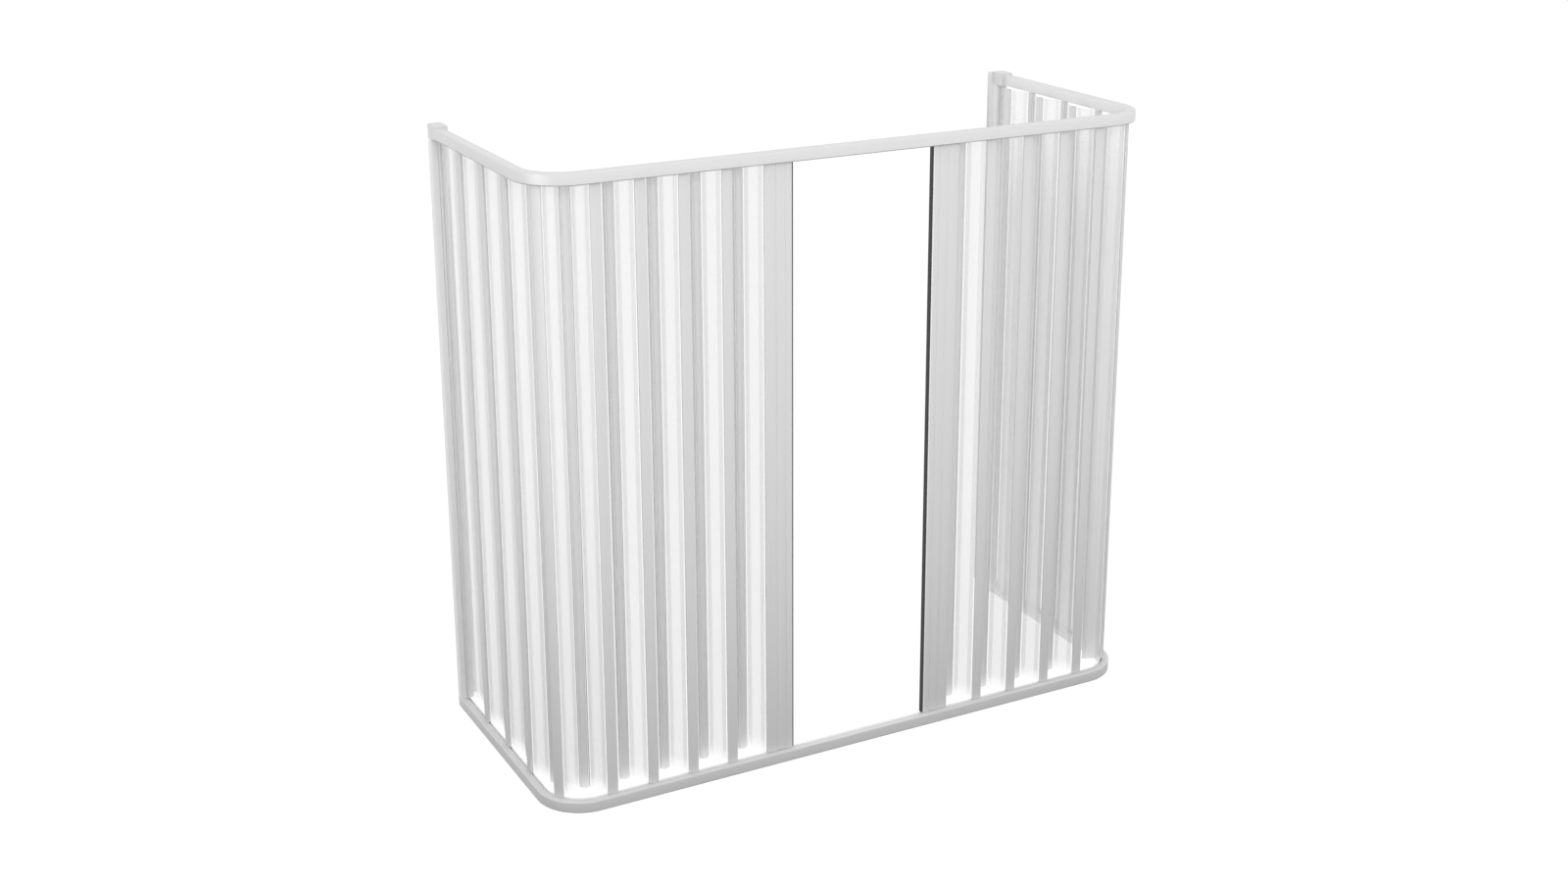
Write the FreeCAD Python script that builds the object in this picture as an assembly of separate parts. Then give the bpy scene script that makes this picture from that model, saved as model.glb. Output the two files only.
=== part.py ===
import FreeCAD, Part
import math
import os

# Folding bath screen: bellows panels in rails that bend round three sides, open at the front's middle.
# +Z is up and +Y is towards the wall. The origin is the middle of the footprint, under the bottom rail.
# Sizes are in millimetres and angles in degrees.

# Overall size
WIDTH = 1615.0
DEPTH = 660.0
HEIGHT = 1500.0
BEND_RADIUS = 115.0

# Rail section: a closed chamber on the outside and an open glider groove on the inside
RAIL_WIDTH = 23.0
RAIL_HEIGHT = 27.0
RAIL_WALL = 1.7
RAIL_EDGE = 2.0
GROOVE_WIDTH = 4.6
GROOVE_DEPTH = 16.0

# Hinges: a bead along the panel's edge turns in a socket along the post. Both are rounded by a few flats,
# and the socket's mouth is narrower than the bead, which snaps in.
BEAD_RADIUS = 2.0
BEAD_SIDES = 8
HINGE_CLEARANCE = 0.3
SOCKET_SIDES = 6
SOCKET_WALL = 1.2
SOCKET_FACING = 55.6
SOCKET_OPENING = 105.0

# Posts and back strips
POST_WIDTH = 25.0
POST_DEPTH = 8.0
POST_EDGE = 0.8
STRIP_CROWN = 3.0

# Folding panels
PANEL_REACH = 59.4
NECK_THICKNESS = 0.7
NECK_REACH = 6.6
BORDER_WIDTH = 9.6
BORDER_THICKNESS = 3.0
BORDER_SLOPE = 1.0
WEB_THICKNESS = 1.6

# Gaps between what slides and the rails
END_GAP = 1.5
RUNNING_GAP = 0.3
PANEL_END_GAP = 2.0

# Gliders: a shoe in the groove, a collar under the post and a plug in the post's chamber
SHOE_LENGTH = 8.0
SHOE_HEIGHT = 12.0
SHOE_EDGE = 1.2
COLLAR_LENGTH = 14.0
COLLAR_DEPTH = 6.4
PLUG_LENGTH = 10.0
PLUG_DEPTH = 5.0
PLUG_HEIGHT = 14.0
PLUG_FIT = 0.2

# Places of the posts along the rail
FRONT_PERIODS = 4
FRONT_PITCH = 103.6
FIRST_FRONT_POST = 35.6
CORNER_PITCH = 129.4
FLATTEST_FOLD = 20.0

# Closing stiles and their magnetic seals. Insets are from the hinge edge and from the closing edge.
STILE_WIDTH = 69.0
STILE_DEPTH = 14.0
STILE_STEP = 13.5
STILE_WALL = 1.4
STILE_GROOVE_INSETS = (29.0, 16.5)
STILE_GROOVE_WIDTH = 1.8
STILE_GROOVE_DEPTH = 0.9
STILE_PLUG_INSETS = (22.5, 10.5)
SEAL_WIDTH = 11.0
SEAL_PROUD = 4.0
SEAL_EDGE = 0.8
SEAL_NOTCH = 2.4
SEAL_TONGUE_LENGTH = 3.6
SEAL_TONGUE_WIDTH = 3.0
MAGNET_WIDTH = 6.0
MAGNET_THICKNESS = 1.6

# Wall jambs and the end blocks on top of them
JAMB_WIDTH = 33.5
JAMB_DEPTH = 22.0
JAMB_WALL = 2.0
JAMB_FLANGE = 15.0
JAMB_RIB_LENGTH = 9.0
JAMB_HINGE_FIT = 0.1
JAMB_HINGE_INSET = 20.0
WALL_HOLE_RADIUS = 2.25
WALL_HOLE_INSET = 150.0
BLOCK_LENGTH = 47.0
BLOCK_RISE = 6.0
BLOCK_EDGE = 1.5
SPIGOT_LENGTH = 20.0
SPIGOT_FIT = 0.15

# Worked out from the sizes above
TRACK_OFFSET = RAIL_WIDTH - RAIL_WALL - GROOVE_WIDTH / 2
TRACK_RADIUS = BEND_RADIUS - TRACK_OFFSET
SOCKET_RADIUS = BEAD_RADIUS + HINGE_CLEARANCE
HINGE_OFFSET = POST_WIDTH / 2 - SOCKET_WALL - SOCKET_RADIUS
CHAMBER_LENGTH = PLUG_LENGTH + 2 * PLUG_FIT
CHAMBER_DEPTH = PLUG_DEPTH + 2 * PLUG_FIT
POST_BOTTOM = RAIL_HEIGHT + END_GAP
POST_HEIGHT = HEIGHT - 2 * POST_BOTTOM
PANEL_BOTTOM = RAIL_HEIGHT + PANEL_END_GAP
PANEL_HEIGHT = HEIGHT - 2 * PANEL_BOTTOM
FRONT_FACE = -POST_DEPTH / 2
STILE_GROOVES = (STILE_GROOVE_INSETS[0], STILE_WIDTH - STILE_GROOVE_INSETS[1])
STILE_PLUGS = (STILE_PLUG_INSETS[0], STILE_WIDTH - STILE_PLUG_INSETS[1])
JAMB_HEIGHT = HEIGHT - 2 * RAIL_HEIGHT
WALL_HOLE_HEIGHTS = (WALL_HOLE_INSET, HEIGHT / 2, HEIGHT - WALL_HOLE_INSET)
LEFT_FACE = -WIDTH / 2
WALL = DEPTH / 2

UP = FreeCAD.Vector(0, 0, 1)


def point(x, y, z=0.0):
    return FreeCAD.Vector(x, y, z)


def polar(radius, angle, centre=(0.0, 0.0)):
    turn = math.radians(angle)
    return centre[0] + radius * math.cos(turn), centre[1] + radius * math.sin(turn)


def line(start, end):
    return Part.LineSegment(point(*start), point(*end)).toShape()


def arc(start, middle, end):
    return Part.Arc(point(*start), point(*middle), point(*end)).toShape()


def lines(corners):
    return [line(a, b) for a, b in zip(corners, corners[1:])]


def outline(corners):
    """A closed flat wire through the corners."""
    return Part.makePolygon([point(*c) for c in corners] + [point(*corners[0])])


def rectangle(centre, length, width):
    x, y = centre
    a, b = length / 2, width / 2
    return outline([(x - a, y - b), (x + a, y - b), (x + a, y + b), (x - a, y + b)])


def extrusion(outer, holes, bottom, height):
    """A solid bar with the outer wire's section, less the holes, standing on the height called bottom."""
    bar = Part.Face([outer] + holes).extrude(UP * height)
    bar.translate(UP * bottom)
    return bar


def placed(shape, place, angle):
    """A copy of the shape, turned about the upright axis and then moved to its place."""
    copy = shape.copy()
    copy.rotate(point(0, 0), UP, angle)
    copy.translate(point(*place))
    return copy


def mirrored(shape):
    return shape.mirror(point(0, 0), point(1, 0))


def turned_over(shape):
    """The same piece for the top rail, as a mirror image about the middle of the height."""
    return shape.mirror(point(0, 0, HEIGHT / 2), UP)


# The track that the gliders follow


def track(distance):
    """The place and heading of a point of the left half of the track, by its distance from the wall."""
    run = DEPTH - BEND_RADIUS
    bend = TRACK_RADIUS * math.pi / 2
    if distance <= run:
        return (LEFT_FACE + TRACK_OFFSET, WALL - distance), -90.0
    centre = (LEFT_FACE + BEND_RADIUS, WALL - run)
    if distance <= run + bend:
        turn = math.degrees((distance - run) / TRACK_RADIUS)
        return polar(TRACK_RADIUS, 180.0 + turn, centre), turn - 90.0
    return (centre[0] + distance - run - bend, TRACK_OFFSET - WALL), 0.0


def side_stations():
    """Places of the jamb hinge, the side posts, the corner post and the first front post."""
    bend_end = DEPTH - BEND_RADIUS + TRACK_RADIUS * math.pi / 2
    first_front = bend_end + FIRST_FRONT_POST
    corner = first_front - CORNER_PITCH
    run = corner - JAMB_HINGE_INSET
    widest = 2 * (2 * HINGE_OFFSET + PANEL_REACH * math.cos(math.radians(FLATTEST_FOLD)))
    periods = math.ceil(run / widest)
    distances = [JAMB_HINGE_INSET + run * i / periods for i in range(periods + 1)]
    return [track(d) for d in distances + [first_front]]


def front_stations():
    """Places of the front posts from the first one to the closing stile."""
    (x, y), heading = side_stations()[-1]
    return [((x + i * FRONT_PITCH, y), heading) for i in range(FRONT_PERIODS + 1)]


# Profiles, drawn with x along the rail and y towards the bath


def socket_corners(x, side):
    """Corners of a socket at x: lip on the profile's end, bore, lip on the bath side."""
    low = SOCKET_FACING - SOCKET_OPENING / 2
    high = SOCKET_FACING + SOCKET_OPENING / 2
    step = (360.0 - SOCKET_OPENING) / SOCKET_SIDES
    corner_radius = SOCKET_RADIUS / math.cos(math.radians(step / 2))
    end_face = SOCKET_RADIUS + SOCKET_WALL
    bath_face = POST_DEPTH / 2
    corners = [(end_face, end_face * math.tan(math.radians(low)))]
    corners += [polar(corner_radius, low - i * step) for i in range(SOCKET_SIDES + 1)]
    corners.append((bath_face / math.tan(math.radians(high)), bath_face))
    return [(x + side * a, b) for a, b in corners]


def post_outline(crown):
    """A bar with a flat face outside, a socket at each end and a bath side that may be crowned."""
    half, edge = POST_WIDTH / 2, POST_EDGE
    right = socket_corners(HINGE_OFFSET, 1)
    left = socket_corners(-HINGE_OFFSET, -1)
    front = [
        (-half, FRONT_FACE + edge), (edge - half, FRONT_FACE),
        (half - edge, FRONT_FACE), (half, FRONT_FACE + edge),
    ]
    corners = left[::-1] + front + right
    if not crown:
        return outline(corners)
    back = arc(right[-1], (0.0, POST_DEPTH / 2 + crown), left[-1])
    return Part.Wire(lines(corners) + [back])


def chamber(x=0.0):
    """The hollow of a post, which takes a glider's plug."""
    return rectangle((x, 0.0), CHAMBER_LENGTH, CHAMBER_DEPTH)


def make_post():
    return extrusion(post_outline(0.0), [chamber()], POST_BOTTOM, POST_HEIGHT)


def make_back_strip():
    """The bar between two panels: a post's section turned round, with a crowned face and no gliders."""
    bar = extrusion(post_outline(STRIP_CROWN), [chamber()], POST_BOTTOM, POST_HEIGHT)
    return placed(bar, (0.0, 0.0), 180.0)


def panel_outline():
    """Bead, thin neck, thick border and thin web, the same from both ends."""
    step = 360.0 / BEAD_SIDES
    neck, border, web = NECK_THICKNESS / 2, BORDER_THICKNESS / 2, WEB_THICKNESS / 2
    shoulder = NECK_REACH + BORDER_SLOPE
    border_end = shoulder + BORDER_WIDTH
    upper = [polar(BEAD_RADIUS, 180.0 - i * step) for i in range(1, BEAD_SIDES // 4 + 1)]
    upper += [
        (math.sqrt(BEAD_RADIUS**2 - neck**2), neck),
        (NECK_REACH, neck),
        (shoulder, border),
        (border_end, border),
        (border_end + BORDER_SLOPE, web),
    ]
    upper += [(PANEL_REACH - x, y) for x, y in reversed(upper)]
    lower = [(x, -y) for x, y in reversed(upper)]
    return outline([(-BEAD_RADIUS, 0.0)] + upper + [(PANEL_REACH + BEAD_RADIUS, 0.0)] + lower)


def make_panel():
    return extrusion(panel_outline(), [], PANEL_BOTTOM, PANEL_HEIGHT)


def make_glider():
    """A bottom glider: the shoe runs in the groove, and the post stands on the collar round the plug."""
    shoe_width = GROOVE_WIDTH - 2 * RUNNING_GAP
    a, b, edge = SHOE_LENGTH / 2, shoe_width / 2, SHOE_EDGE
    shoe = outline([
        (a, b - edge), (a - edge, b), (edge - a, b), (-a, b - edge),
        (-a, edge - b), (edge - a, -b), (a - edge, -b), (a, edge - b),
    ])
    collar = rectangle((0.0, 0.0), COLLAR_LENGTH, COLLAR_DEPTH)
    plug = rectangle((0.0, 0.0), PLUG_LENGTH, PLUG_DEPTH)
    collar_bottom = RAIL_HEIGHT + RUNNING_GAP
    lower = extrusion(shoe, [], collar_bottom - SHOE_HEIGHT, SHOE_HEIGHT)
    middle = extrusion(collar, [], collar_bottom, POST_BOTTOM - collar_bottom)
    upper = extrusion(plug, [], POST_BOTTOM, PLUG_HEIGHT)
    return lower.fuse(middle).fuse(upper).removeSplitter()


def gliders_at(glider, place, angle):
    """A glider under a post and its twin above it."""
    bottom = placed(glider, place, angle)
    return [bottom, turned_over(bottom)]


# Rails


def rail_section(groove_up):
    """Two wires at the left end of a rail, in the plane of the wall: outer shape and closed chamber."""
    groove_in = TRACK_OFFSET + GROOVE_WIDTH / 2
    groove_out = TRACK_OFFSET - GROOVE_WIDTH / 2
    floor = RAIL_HEIGHT - GROOVE_DEPTH
    outer = [
        (RAIL_EDGE, 0.0), (RAIL_WIDTH, 0.0), (RAIL_WIDTH, RAIL_HEIGHT), (groove_in, RAIL_HEIGHT),
        (groove_in, floor), (groove_out, floor), (groove_out, RAIL_HEIGHT),
        (RAIL_EDGE, RAIL_HEIGHT), (0.0, RAIL_HEIGHT - RAIL_EDGE), (0.0, RAIL_EDGE),
    ]
    low, high, far = RAIL_WALL, RAIL_HEIGHT - RAIL_WALL, groove_out - RAIL_WALL
    inner = [(low, low), (far, low), (far, high), (low, high)]
    wires = []
    for corners in (outer, inner):
        heights = [(x, z if groove_up else HEIGHT - z) for x, z in corners]
        wires.append(Part.makePolygon([point(LEFT_FACE + x, WALL, z) for x, z in heights + heights[:1]]))
    return wires


def make_rail(groove_up, cut_back):
    """Three straight runs joined by two bends. The wall ends stop short of the wall by the cut-back."""
    section = Part.Face(rail_section(groove_up))
    section.translate(point(0.0, -cut_back))
    run = DEPTH - BEND_RADIUS - cut_back
    side = section.extrude(point(0.0, -run))
    section.translate(point(0.0, -run))
    bend_centre = point(LEFT_FACE + BEND_RADIUS, BEND_RADIUS - WALL)
    bend = section.revolve(bend_centre, UP, 90.0)
    section.rotate(bend_centre, UP, 90.0)
    front = section.extrude(point(WIDTH - 2 * BEND_RADIUS, 0.0))
    return side.multiFuse([bend, front, mirrored(bend), mirrored(side)]).removeSplitter()


# Wall jambs


def make_jamb(flange_rise):
    """A hollow profile on the wall with a flange for its screws, open in front only where its hinge stands.

    Two ribs inside grip the hinge. The flange may rise past the jamb's top, beside the end block.
    """
    full, wall, deep = JAMB_WIDTH + JAMB_FLANGE, JAMB_WALL, JAMB_DEPTH
    inner, back = JAMB_WIDTH - wall, deep - wall
    grip = POST_DEPTH / 2 + JAMB_HINGE_FIT
    rib = wall + JAMB_RIB_LENGTH
    near, far = TRACK_OFFSET - grip, TRACK_OFFSET + grip
    corners = [
        (0.0, 0.0), (full, 0.0), (full, wall), (JAMB_WIDTH, wall), (JAMB_WIDTH, deep), (far, deep),
        (far, back), (inner, back), (inner, wall), (far + wall, wall), (far + wall, rib), (far, rib),
        (far, wall), (near, wall), (near, rib), (near - wall, rib), (near - wall, wall),
        (wall, wall), (wall, back), (near, back), (near, deep), (0.0, deep),
    ]
    shape = outline([(LEFT_FACE + x, WALL - y) for x, y in corners])
    jamb = extrusion(shape, [], RAIL_HEIGHT, JAMB_HEIGHT)
    if flange_rise:
        start = point(LEFT_FACE + JAMB_WIDTH, WALL - wall, RAIL_HEIGHT + JAMB_HEIGHT)
        jamb = jamb.fuse(Part.makeBox(JAMB_FLANGE, wall, flange_rise, start)).removeSplitter()
    hole_x = LEFT_FACE + JAMB_WIDTH + JAMB_FLANGE / 2
    for height in WALL_HOLE_HEIGHTS:
        start = point(hole_x, WALL - 2 * wall, height)
        jamb = jamb.cut(Part.makeCylinder(WALL_HOLE_RADIUS, 3 * wall, start, point(0.0, 1.0)))
    return jamb


def make_jamb_hinge(station):
    """Half a post with one socket, whose tail stands against the jamb's web between its ribs."""
    place, heading = station
    tail = JAMB_WALL - JAMB_HINGE_INSET
    half, edge = POST_WIDTH / 2, POST_EDGE
    corners = socket_corners(HINGE_OFFSET, 1) + [
        (tail, POST_DEPTH / 2), (tail, FRONT_FACE), (half - edge, FRONT_FACE), (half, FRONT_FACE + edge),
    ]
    return placed(extrusion(outline(corners), [chamber()], POST_BOTTOM, POST_HEIGHT), place, heading)


def make_end_block():
    """The block over a jamb that ends the top rail, with a spigot in the rail's chamber."""
    bottom = HEIGHT - RAIL_HEIGHT
    rise = RAIL_HEIGHT + BLOCK_RISE
    block = Part.makeBox(JAMB_WIDTH, BLOCK_LENGTH, rise, point(LEFT_FACE, WALL - BLOCK_LENGTH, bottom))
    top = HEIGHT + BLOCK_RISE
    upper = [e for e in block.Edges if all(abs(v.Z - top) < BLOCK_EDGE / 2 for v in e.Vertexes)]
    block = block.makeChamfer(BLOCK_EDGE, [e for e in upper if e.CenterOfMass.y < WALL - BLOCK_EDGE])
    groove_out = TRACK_OFFSET - GROOVE_WIDTH / 2
    inset = RAIL_WALL + SPIGOT_FIT
    spigot = Part.makeBox(
        groove_out - RAIL_WALL - SPIGOT_FIT - inset,
        SPIGOT_LENGTH + BLOCK_EDGE,
        RAIL_HEIGHT - 2 * inset,
        point(LEFT_FACE + inset, WALL - BLOCK_LENGTH - SPIGOT_LENGTH, bottom + inset),
    )
    return block.fuse(spigot).removeSplitter()


# Closing stiles


def stile_outline():
    """A wide hollow bar, with the last panel's socket on one edge and a slot for the seal in the other."""
    left = -POST_WIDTH / 2
    right = left + STILE_WIDTH
    back = FRONT_FACE + STILE_DEPTH
    edge, half_groove = POST_EDGE, STILE_GROOVE_WIDTH / 2
    slot = SEAL_TONGUE_WIDTH / 2 + PLUG_FIT
    middle = FRONT_FACE + STILE_DEPTH / 2
    slot_end = right - SEAL_TONGUE_LENGTH - PLUG_FIT
    corners = socket_corners(-HINGE_OFFSET, -1)[::-1]
    corners += [(left, FRONT_FACE + edge), (left + edge, FRONT_FACE)]
    for place in STILE_GROOVES:
        x = left + place
        corners += [
            (x - half_groove, FRONT_FACE),
            (x, FRONT_FACE + STILE_GROOVE_DEPTH),
            (x + half_groove, FRONT_FACE),
        ]
    step = left + STILE_STEP
    corners += [
        (right - edge, FRONT_FACE), (right, FRONT_FACE + edge),
        (right, middle - slot), (slot_end, middle - slot),
        (slot_end, middle + slot), (right, middle + slot),
        (right, back - edge), (right - edge, back), (step, back), (step, POST_DEPTH / 2),
    ]
    return outline(corners)


def make_stile():
    left = -POST_WIDTH / 2
    holes = [chamber(left + x) for x in STILE_PLUGS]
    back_low = CHAMBER_DEPTH / 2 + STILE_WALL
    back_high = FRONT_FACE + STILE_DEPTH - STILE_WALL
    back_left = left + STILE_PLUGS[0] - CHAMBER_LENGTH / 2
    back_right = left + STILE_WIDTH - SEAL_TONGUE_LENGTH - PLUG_FIT - STILE_WALL
    centre = ((back_left + back_right) / 2, (back_low + back_high) / 2)
    holes.append(rectangle(centre, back_right - back_left, back_high - back_low))
    return extrusion(stile_outline(), holes, POST_BOTTOM, POST_HEIGHT)


def seal_parts():
    """The soft seal on a stile's closing edge, and the magnet bar inside it."""
    edge_x = STILE_WIDTH - POST_WIDTH / 2
    middle = FRONT_FACE + STILE_DEPTH / 2
    half, tongue, notch = SEAL_WIDTH / 2, SEAL_TONGUE_WIDTH / 2, SEAL_NOTCH / 2
    proud, edge = SEAL_PROUD, SEAL_EDGE
    corners = [
        (-SEAL_TONGUE_LENGTH, -tongue), (0.0, -tongue), (0.0, -half), (proud - edge, -half),
        (proud, edge - half), (proud, -notch), (proud - edge, 0.0), (proud, notch), (proud, half - edge),
        (proud - edge, half), (0.0, half), (0.0, tongue), (-SEAL_TONGUE_LENGTH, tongue),
    ]
    shape = outline([(edge_x + x, middle + y) for x, y in corners])
    centre = (edge_x + (proud - edge) / 2, middle)
    pocket = rectangle(centre, MAGNET_THICKNESS, MAGNET_WIDTH)
    seal = extrusion(shape, [pocket], POST_BOTTOM, POST_HEIGHT)
    magnet = extrusion(pocket, [], POST_BOTTOM, POST_HEIGHT)
    return seal, magnet


# Bellows: two panels and a back strip between each pair of posts


def fold_between(start, end):
    """Places of the two panels and the back strip between two posts, as (place, angle) each."""
    (ax, ay), a_heading = start
    (bx, by), b_heading = end
    ax, ay = polar(HINGE_OFFSET, a_heading, (ax, ay))
    bx, by = polar(-HINGE_OFFSET, b_heading, (bx, by))
    chord = math.hypot(bx - ax, by - ay)
    heading = math.degrees(math.atan2(by - ay, bx - ax))
    fold = math.degrees(math.acos((chord / 2 - HINGE_OFFSET) / PANEL_REACH))
    strip = polar(chord / 2, heading, (ax, ay))
    strip = polar(PANEL_REACH * math.sin(math.radians(fold)), heading + 90.0, strip)
    second = polar(HINGE_OFFSET, heading, strip)
    return ((ax, ay), heading + fold), (strip, heading), (second, heading - fold)


def save(nodes):
    os.makedirs("parts", exist_ok=True)
    for name, solids in nodes.items():
        shape = solids[0] if len(solids) == 1 else Part.makeCompound(solids)
        shape.exportStep(os.path.join("parts", name + ".step"))
    print(len(nodes), "nodes,", sum(len(s) for s in nodes.values()), "solids")


def left_half():
    """The left jamb, side and front bellows and closing stile, as a list of solids by name."""
    post, strip, panel, glider = make_post(), make_back_strip(), make_panel(), make_glider()
    sides, fronts = side_stations(), front_stations()
    seal, magnet = seal_parts()
    nodes = {
        "wall_jamb": [make_jamb(0.0)],
        "jamb_hinge": [make_jamb_hinge(sides[0])],
        "end_block": [make_end_block()],
        "side_posts": [placed(post, *station) for station in sides[1:]],
        "side_panels": [],
        "side_back_strips": [],
        "side_gliders": [],
    }
    for station in sides[1:]:
        nodes["side_gliders"] += gliders_at(glider, *station)
    for start, end in zip(sides, sides[1:]):
        first, middle, second = fold_between(start, end)
        nodes["side_panels"] += [placed(panel, *first), placed(panel, *second)]
        nodes["side_back_strips"].append(placed(strip, *middle))
    for i, (start, end) in enumerate(zip(fronts, fronts[1:]), 1):
        first, middle, second = fold_between(start, end)
        nodes[f"panel_{2 * i - 1}"] = [placed(panel, *first)]
        nodes[f"back_strip_{i}"] = [placed(strip, *middle)]
        nodes[f"panel_{2 * i}"] = [placed(panel, *second)]
    for i, station in enumerate(fronts[1:-1], 2):
        nodes[f"post_{i}"] = [placed(post, *station)]
        nodes[f"post_{i}_gliders"] = gliders_at(glider, *station)
    (x, y), heading = fronts[-1]
    nodes["closing_stile"] = [placed(make_stile(), (x, y), heading)]
    nodes["stile_gliders"] = []
    for along in STILE_PLUGS:
        nodes["stile_gliders"] += gliders_at(glider, (x + along - POST_WIDTH / 2, y), heading)
    nodes["magnetic_seal"] = [placed(seal, (x, y), heading)]
    nodes["magnet_bar"] = [placed(magnet, (x, y), heading)]
    return nodes


def main():
    nodes = {
        "bottom_rail": [make_rail(True, 0.0)],
        "top_rail": [make_rail(False, BLOCK_LENGTH)],
    }
    for name, solids in left_half().items():
        nodes["left_" + name] = solids
        nodes["right_" + name] = [mirrored(s) for s in solids]
    nodes["right_wall_jamb"] = [mirrored(make_jamb(RAIL_HEIGHT + BLOCK_RISE))]
    save(nodes)


main()
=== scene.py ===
# %% [markdown]
# # A folding bath screen
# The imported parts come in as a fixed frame, in metres, and every piece made here stands exactly where its
# part stands. The real screen is almost all plastic extrusion, so the lesson is about one idea: draw a
# section once, soften its corners, and pull it to length.

# %% Load the frame
import math
import bmesh
import bpy
from mathutils import Matrix, Vector


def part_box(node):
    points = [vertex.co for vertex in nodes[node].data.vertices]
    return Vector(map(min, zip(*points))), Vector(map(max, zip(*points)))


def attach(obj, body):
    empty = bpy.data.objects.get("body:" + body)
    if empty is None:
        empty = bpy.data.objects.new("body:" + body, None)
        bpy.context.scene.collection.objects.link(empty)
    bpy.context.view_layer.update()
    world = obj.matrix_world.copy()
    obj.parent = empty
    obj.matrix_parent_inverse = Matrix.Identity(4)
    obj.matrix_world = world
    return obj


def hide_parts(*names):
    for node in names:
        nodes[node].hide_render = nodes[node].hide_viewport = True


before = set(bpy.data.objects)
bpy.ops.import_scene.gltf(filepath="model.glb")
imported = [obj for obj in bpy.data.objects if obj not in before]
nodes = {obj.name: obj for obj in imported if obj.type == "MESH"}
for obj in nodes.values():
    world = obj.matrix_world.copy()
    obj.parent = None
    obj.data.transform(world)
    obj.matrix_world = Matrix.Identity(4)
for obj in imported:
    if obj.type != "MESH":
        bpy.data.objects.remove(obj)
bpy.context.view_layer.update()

# %% [markdown]
# ## Where the posts stand
# The posts slide in a groove that runs along the side, round the bend and along the front. A place on that
# groove is one number, the distance from the wall, so the places are worked out with a small function and
# not copied by hand. Only the left half is placed. The right half is its mirror image.

# %% Places along the groove
rail_low, rail_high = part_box("bottom_rail")
LEFT_FACE, FRONT, WALL = rail_low.x, rail_low.y, rail_high.y
BEND_RADIUS = 0.115  # of the rail's outer face
GROOVE_OFFSET = 0.019  # from the outer face to the middle of the groove
BEND_X, BEND_Y = LEFT_FACE + BEND_RADIUS, FRONT + BEND_RADIUS

side_run = WALL - BEND_Y
groove_radius = BEND_RADIUS - GROOVE_OFFSET
bend_run = groove_radius * math.pi / 2


def on_groove(distance):
    """The matrix of a profile that stands in the groove, by its distance from the wall."""
    centre = Vector((BEND_X, BEND_Y, 0))
    if distance <= side_run:
        turn = 0
        spot = Vector((LEFT_FACE + GROOVE_OFFSET, WALL - distance, 0))
    elif distance <= side_run + bend_run:
        turn = (distance - side_run) / groove_radius
        spot = centre - groove_radius * Vector((math.cos(turn), math.sin(turn), 0))
    else:
        turn = math.pi / 2
        spot = centre + Vector((distance - side_run - bend_run, -groove_radius, 0))
    return Matrix.Translation(spot) @ Matrix.Rotation(turn - math.pi / 2, 4, "Z")


print("groove runs", round(side_run, 4), "m along a side and", round(bend_run, 4), "m round a bend")

# %% [markdown]
# ## The sections between the posts
# The side has four equal sections between the wall and a post in the bend. One more leads round the corner to
# the first front post, and four narrower ones stand along the front, half open as in the photograph. A list
# of measured places would do, but a pitch and a count say more. Each list below runs from the wall towards
# the middle of the front.

# %% Places of the posts
HINGE_INSET = 0.020  # from the wall to the hinge in the jamb
FIRST_FRONT_POST = 0.0356  # beyond the end of the bend
CORNER_PITCH = 0.1294  # from the post in the bend to the first front post
FRONT_PITCH = 0.1036
SIDE_SECTIONS = 4
FRONT_SECTIONS = 4

first_front = side_run + bend_run + FIRST_FRONT_POST
side_step = (first_front - CORNER_PITCH - HINGE_INSET) / SIDE_SECTIONS
side_places = [on_groove(HINGE_INSET + i * side_step) for i in range(SIDE_SECTIONS + 1)]
side_places.append(on_groove(first_front))
front_places = [on_groove(first_front + i * FRONT_PITCH) for i in range(FRONT_SECTIONS + 1)]
print("first front post at", [round(x, 4) for x in front_places[0].translation])

# %% [markdown]
# ## A pen for sections
# An extrusion starts as a flat outline. It could be typed in as a list of points, but arcs and rounded
# corners are long lists. The pen below draws an outline a vertex at a time: a straight run is an extruded
# vertex and an arc is a spun one. Corners are softened with a vertex bevel while the outline is still a
# wire, which costs a few edges instead of a modifier.

# %% The section pen
SEAM = 1e-6
UP = (0, 0, 1)


class Pen:
    """Draws closed outlines in the XY plane of one bmesh."""

    def __init__(self):
        self.bm = bmesh.new()

    def start(self, x, y):
        self.first = self.last = self.bm.verts.new((x, y, 0))
        self.corners = [self.first]

    def line(self, *points):
        """Straight runs from point to point."""
        for x, y in points:
            self.last = bmesh.ops.extrude_vert_indiv(self.bm, verts=[self.last])["verts"][0]
            self.last.co = (x, y, 0)
            self.corners.append(self.last)

    def arc(self, centre, degrees, steps):
        """An arc about a centre, against the clock where the degrees are positive."""
        turned = bmesh.ops.spin(
            self.bm, geom=[self.last], cent=(*centre, 0), axis=UP, angle=math.radians(degrees), steps=steps,
        )
        self.last = turned["geom_last"][0]

    def close(self):
        self.bm.edges.new((self.last, self.first))

    def box(self, centre, length, width):
        """A closed rectangle about a centre."""
        left, right = centre[0] - length / 2, centre[0] + length / 2
        low, high = centre[1] - width / 2, centre[1] + width / 2
        self.start(left, low)
        self.line((right, low), (right, high), (left, high))
        self.close()

    def soften(self, corners, radius, segments=3):
        bmesh.ops.bevel(
            self.bm, geom=corners, offset=radius, offset_type="OFFSET", affect="VERTICES",
            segments=segments, profile=0.5, material=-1,
        )

    def mirror(self, axis):
        """Adds the mirror image of what is drawn so far and joins the two along the axis."""
        bmesh.ops.mirror(self.bm, geom=self.bm.verts[:] + self.bm.edges[:], axis=axis, merge_dist=SEAM)
        bmesh.ops.remove_doubles(self.bm, verts=self.bm.verts, dist=SEAM)


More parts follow.
